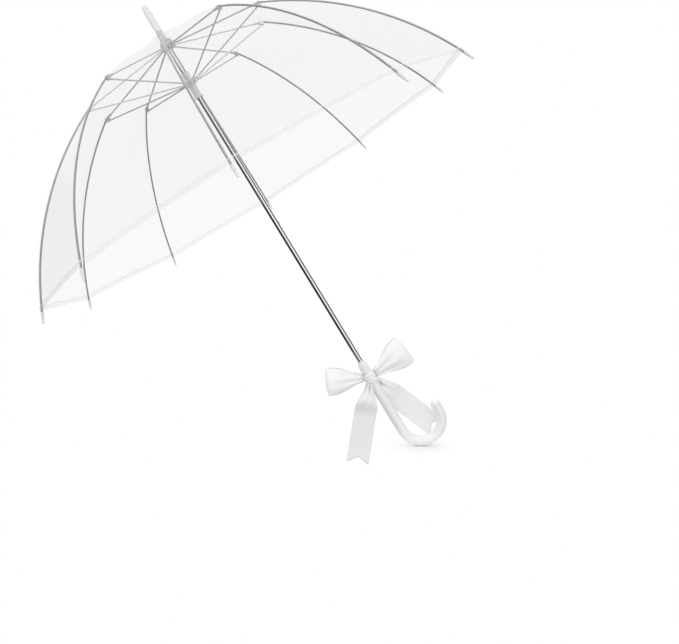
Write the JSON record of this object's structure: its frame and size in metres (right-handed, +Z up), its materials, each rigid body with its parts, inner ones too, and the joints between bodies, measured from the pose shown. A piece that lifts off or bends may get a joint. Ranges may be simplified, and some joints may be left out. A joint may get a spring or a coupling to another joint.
{
  "type": "umbrella",
  "caption": "Clear dome umbrella standing open, with a slender metal shaft, curved ribs, a sliding runner, a hooked white handle and a white ribbon bow.",
  "frame": {"origin": "on the shaft's axis, halfway up the straight part of the grip", "axes": "+Z up the shaft to the ferrule, +X towards the open side of the hook, +Y along the first rib"},
  "size_m": [0.7772, 0.817, 0.8905],
  "materials": {
    "chromed_steel": "bright chrome plate",
    "white_plastic": "moulded gloss white",
    "collar_plastic": "moulded gloss white",
    "clear_film": "clear film",
    "runner_plastic": "milky translucent",
    "notch_plastic": "milky translucent",
    "pad_film": "soft milky disc",
    "wire_steel": "drawn wire",
    "rib_steel": "pale grey coating",
    "stretcher_steel": "pale grey coating",
    "tip_plastic": "milky translucent",
    "satin_ribbon": "satin sheen"
  },
  "bodies": {
    "shaft": {"shaft_tube": "chromed_steel", "ferrule": "white_plastic", "canopy_washer": "notch_plastic", "crown_pad": "pad_film", "top_notch": "notch_plastic", "notch_wire": "wire_steel", "stop_pin": "wire_steel", "handle": "white_plastic", "handle_collar": "collar_plastic", "canopy": "clear_film", "bow_knot": "satin_ribbon", "bow_loop_left": "satin_ribbon", "bow_loop_right": "satin_ribbon", "bow_tail_left": "satin_ribbon", "bow_tail_right": "satin_ribbon"},
    "runner": {"runner": "runner_plastic", "runner_wire": "wire_steel"},
    "upper_catch": {"upper_catch": "wire_steel"},
    "lower_catch": {"lower_catch": "wire_steel"},
    "inner_01": {"rib_inner_01": "rib_steel"},
    "outer_01": {"rib_outer_01": "rib_steel", "rib_tip_01": "tip_plastic"},
    "stretcher_01": {"stretcher_01": "stretcher_steel"},
    "inner_02": {"rib_inner_02": "rib_steel"},
    "outer_02": {"rib_outer_02": "rib_steel", "rib_tip_02": "tip_plastic"},
    "stretcher_02": {"stretcher_02": "stretcher_steel"},
    "inner_03": {"rib_inner_03": "rib_steel"},
    "outer_03": {"rib_outer_03": "rib_steel", "rib_tip_03": "tip_plastic"},
    "stretcher_03": {"stretcher_03": "stretcher_steel"},
    "inner_04": {"rib_inner_04": "rib_steel"},
    "outer_04": {"rib_outer_04": "rib_steel", "rib_tip_04": "tip_plastic"},
    "stretcher_04": {"stretcher_04": "stretcher_steel"},
    "inner_05": {"rib_inner_05": "rib_steel"},
    "outer_05": {"rib_outer_05": "rib_steel", "rib_tip_05": "tip_plastic"},
    "stretcher_05": {"stretcher_05": "stretcher_steel"},
    "inner_06": {"rib_inner_06": "rib_steel"},
    "outer_06": {"rib_outer_06": "rib_steel", "rib_tip_06": "tip_plastic"},
    "stretcher_06": {"stretcher_06": "stretcher_steel"},
    "inner_07": {"rib_inner_07": "rib_steel"},
    "outer_07": {"rib_outer_07": "rib_steel", "rib_tip_07": "tip_plastic"},
    "stretcher_07": {"stretcher_07": "stretcher_steel"},
    "inner_08": {"rib_inner_08": "rib_steel"},
    "outer_08": {"rib_outer_08": "rib_steel", "rib_tip_08": "tip_plastic"},
    "stretcher_08": {"stretcher_08": "stretcher_steel"},
    "inner_09": {"rib_inner_09": "rib_steel"},
    "outer_09": {"rib_outer_09": "rib_steel", "rib_tip_09": "tip_plastic"},
    "stretcher_09": {"stretcher_09": "stretcher_steel"},
    "inner_10": {"rib_inner_10": "rib_steel"},
    "outer_10": {"rib_outer_10": "rib_steel", "rib_tip_10": "tip_plastic"},
    "stretcher_10": {"stretcher_10": "stretcher_steel"}
  },
  "joints": [
    {"name": "runner_slide", "type": "slide", "parent": "shaft", "child": "runner", "axis": [0, 0, 1], "range_m": [-0.25908, 0], "deforming": ["canopy"]},
    {"name": "upper_catch_press", "type": "hinge", "parent": "shaft", "child": "upper_catch", "pos_m": [0, 0, 0.5787], "axis": [0, -1, 0], "range_deg": [0, 6], "stiffness_Nm_per_rad": 0.5},
    {"name": "lower_catch_press", "type": "hinge", "parent": "shaft", "child": "lower_catch", "pos_m": [0, 0, 0.36422], "axis": [0, 1, 0], "range_deg": [0, 6], "stiffness_Nm_per_rad": 0.5},
    {"name": "rib_fold_01", "type": "hinge", "parent": "shaft", "child": "inner_01", "pos_m": [0, 0.009, 0.70096], "axis": [-1, 0, 0], "range_deg": [0, 75.82]},
    {"name": "rib_flex_01", "type": "hinge", "parent": "inner_01", "child": "outer_01", "pos_m": [0, 0.172, 0.667], "axis": [1, 0, 0], "range_deg": [0, 33.68]},
    {"name": "stretcher_swing_01", "type": "hinge", "parent": "inner_01", "child": "stretcher_01", "pos_m": [0, 0.17122, 0.66328], "axis": [1, 0, 0], "range_deg": [0, 153.13]},
    {"name": "rib_fold_02", "type": "hinge", "parent": "shaft", "child": "inner_02", "pos_m": [-0.00529, 0.00728, 0.70096], "axis": [-0.809, -0.5878, 0], "range_deg": [0, 75.82]},
    {"name": "rib_flex_02", "type": "hinge", "parent": "inner_02", "child": "outer_02", "pos_m": [-0.1011, 0.13915, 0.667], "axis": [0.809, 0.5878, 0], "range_deg": [0, 33.68]},
    {"name": "stretcher_swing_02", "type": "hinge", "parent": "inner_02", "child": "stretcher_02", "pos_m": [-0.10064, 0.13852, 0.66328], "axis": [0.809, 0.5878, 0], "range_deg": [0, 153.13]},
    {"name": "rib_fold_03", "type": "hinge", "parent": "shaft", "child": "inner_03", "pos_m": [-0.00856, 0.00278, 0.70096], "axis": [-0.309, -0.9511, 0], "range_deg": [0, 75.82]},
    {"name": "rib_flex_03", "type": "hinge", "parent": "inner_03", "child": "outer_03", "pos_m": [-0.16358, 0.05315, 0.667], "axis": [0.309, 0.9511, 0], "range_deg": [0, 33.68]},
    {"name": "stretcher_swing_03", "type": "hinge", "parent": "inner_03", "child": "stretcher_03", "pos_m": [-0.16284, 0.05291, 0.66328], "axis": [0.309, 0.9511, 0], "range_deg": [0, 153.13]},
    {"name": "rib_fold_04", "type": "hinge", "parent": "shaft", "child": "inner_04", "pos_m": [-0.00856, -0.00278, 0.70096], "axis": [0.309, -0.9511, 0], "range_deg": [0, 75.82]},
    {"name": "rib_flex_04", "type": "hinge", "parent": "inner_04", "child": "outer_04", "pos_m": [-0.16358, -0.05315, 0.667], "axis": [-0.309, 0.9511, 0], "range_deg": [0, 33.68]},
    {"name": "stretcher_swing_04", "type": "hinge", "parent": "inner_04", "child": "stretcher_04", "pos_m": [-0.16284, -0.05291, 0.66328], "axis": [-0.309, 0.9511, 0], "range_deg": [0, 153.13]},
    {"name": "rib_fold_05", "type": "hinge", "parent": "shaft", "child": "inner_05", "pos_m": [-0.00529, -0.00728, 0.70096], "axis": [0.809, -0.5878, 0], "range_deg": [0, 75.82]},
    {"name": "rib_flex_05", "type": "hinge", "parent": "inner_05", "child": "outer_05", "pos_m": [-0.1011, -0.13915, 0.667], "axis": [-0.809, 0.5878, 0], "range_deg": [0, 33.68]},
    {"name": "stretcher_swing_05", "type": "hinge", "parent": "inner_05", "child": "stretcher_05", "pos_m": [-0.10064, -0.13852, 0.66328], "axis": [-0.809, 0.5878, 0], "range_deg": [0, 153.13]},
    {"name": "rib_fold_06", "type": "hinge", "parent": "shaft", "child": "inner_06", "pos_m": [0, -0.009, 0.70096], "axis": [1, 0, 0], "range_deg": [0, 75.82]},
    {"name": "rib_flex_06", "type": "hinge", "parent": "inner_06", "child": "outer_06", "pos_m": [0, -0.172, 0.667], "axis": [-1, 0, 0], "range_deg": [0, 33.68]},
    {"name": "stretcher_swing_06", "type": "hinge", "parent": "inner_06", "child": "stretcher_06", "pos_m": [0, -0.17122, 0.66328], "axis": [-1, 0, 0], "range_deg": [0, 153.13]},
    {"name": "rib_fold_07", "type": "hinge", "parent": "shaft", "child": "inner_07", "pos_m": [0.00529, -0.00728, 0.70096], "axis": [0.809, 0.5878, 0], "range_deg": [0, 75.82]},
    {"name": "rib_flex_07", "type": "hinge", "parent": "inner_07", "child": "outer_07", "pos_m": [0.1011, -0.13915, 0.667], "axis": [-0.809, -0.5878, 0], "range_deg": [0, 33.68]},
    {"name": "stretcher_swing_07", "type": "hinge", "parent": "inner_07", "child": "stretcher_07", "pos_m": [0.10064, -0.13852, 0.66328], "axis": [-0.809, -0.5878, 0], "range_deg": [0, 153.13]},
    {"name": "rib_fold_08", "type": "hinge", "parent": "shaft", "child": "inner_08", "pos_m": [0.00856, -0.00278, 0.70096], "axis": [0.309, 0.9511, 0], "range_deg": [0, 75.82]},
    {"name": "rib_flex_08", "type": "hinge", "parent": "inner_08", "child": "outer_08", "pos_m": [0.16358, -0.05315, 0.667], "axis": [-0.309, -0.9511, 0], "range_deg": [0, 33.68]},
    {"name": "stretcher_swing_08", "type": "hinge", "parent": "inner_08", "child": "stretcher_08", "pos_m": [0.16284, -0.05291, 0.66328], "axis": [-0.309, -0.9511, 0], "range_deg": [0, 153.13]},
    {"name": "rib_fold_09", "type": "hinge", "parent": "shaft", "child": "inner_09", "pos_m": [0.00856, 0.00278, 0.70096], "axis": [-0.309, 0.9511, 0], "range_deg": [0, 75.82]},
    {"name": "rib_flex_09", "type": "hinge", "parent": "inner_09", "child": "outer_09", "pos_m": [0.16358, 0.05315, 0.667], "axis": [0.309, -0.9511, 0], "range_deg": [0, 33.68]},
    {"name": "stretcher_swing_09", "type": "hinge", "parent": "inner_09", "child": "stretcher_09", "pos_m": [0.16284, 0.05291, 0.66328], "axis": [0.309, -0.9511, 0], "range_deg": [0, 153.13]},
    {"name": "rib_fold_10", "type": "hinge", "parent": "shaft", "child": "inner_10", "pos_m": [0.00529, 0.00728, 0.70096], "axis": [-0.809, 0.5878, 0], "range_deg": [0, 75.82]},
    {"name": "rib_flex_10", "type": "hinge", "parent": "inner_10", "child": "outer_10", "pos_m": [0.1011, 0.13915, 0.667], "axis": [0.809, -0.5878, 0], "range_deg": [0, 33.68]},
    {"name": "stretcher_swing_10", "type": "hinge", "parent": "inner_10", "child": "stretcher_10", "pos_m": [0.10064, 0.13852, 0.66328], "axis": [0.809, -0.5878, 0], "range_deg": [0, 153.13]}
  ],
  "couplings": [
    {"joint": "rib_fold_01", "follows": "runner_slide", "rad_per_m": -5.1079},
    {"joint": "rib_flex_01", "follows": "runner_slide", "rad_per_m": -2.2692},
    {"joint": "stretcher_swing_01", "follows": "runner_slide", "rad_per_m": -10.316},
    {"joint": "rib_fold_02", "follows": "runner_slide", "rad_per_m": -5.1079},
    {"joint": "rib_flex_02", "follows": "runner_slide", "rad_per_m": -2.2692},
    {"joint": "stretcher_swing_02", "follows": "runner_slide", "rad_per_m": -10.316},
    {"joint": "rib_fold_03", "follows": "runner_slide", "rad_per_m": -5.1079},
    {"joint": "rib_flex_03", "follows": "runner_slide", "rad_per_m": -2.2692},
    {"joint": "stretcher_swing_03", "follows": "runner_slide", "rad_per_m": -10.316},
    {"joint": "rib_fold_04", "follows": "runner_slide", "rad_per_m": -5.1079},
    {"joint": "rib_flex_04", "follows": "runner_slide", "rad_per_m": -2.2692},
    {"joint": "stretcher_swing_04", "follows": "runner_slide", "rad_per_m": -10.316},
    {"joint": "rib_fold_05", "follows": "runner_slide", "rad_per_m": -5.1079},
    {"joint": "rib_flex_05", "follows": "runner_slide", "rad_per_m": -2.2692},
    {"joint": "stretcher_swing_05", "follows": "runner_slide", "rad_per_m": -10.316},
    {"joint": "rib_fold_06", "follows": "runner_slide", "rad_per_m": -5.1079},
    {"joint": "rib_flex_06", "follows": "runner_slide", "rad_per_m": -2.2692},
    {"joint": "stretcher_swing_06", "follows": "runner_slide", "rad_per_m": -10.316},
    {"joint": "rib_fold_07", "follows": "runner_slide", "rad_per_m": -5.1079},
    {"joint": "rib_flex_07", "follows": "runner_slide", "rad_per_m": -2.2692},
    {"joint": "stretcher_swing_07", "follows": "runner_slide", "rad_per_m": -10.316},
    {"joint": "rib_fold_08", "follows": "runner_slide", "rad_per_m": -5.1079},
    {"joint": "rib_flex_08", "follows": "runner_slide", "rad_per_m": -2.2692},
    {"joint": "stretcher_swing_08", "follows": "runner_slide", "rad_per_m": -10.316},
    {"joint": "rib_fold_09", "follows": "runner_slide", "rad_per_m": -5.1079},
    {"joint": "rib_flex_09", "follows": "runner_slide", "rad_per_m": -2.2692},
    {"joint": "stretcher_swing_09", "follows": "runner_slide", "rad_per_m": -10.316},
    {"joint": "rib_fold_10", "follows": "runner_slide", "rad_per_m": -5.1079},
    {"joint": "rib_flex_10", "follows": "runner_slide", "rad_per_m": -2.2692},
    {"joint": "stretcher_swing_10", "follows": "runner_slide", "rad_per_m": -10.316}
  ]
}
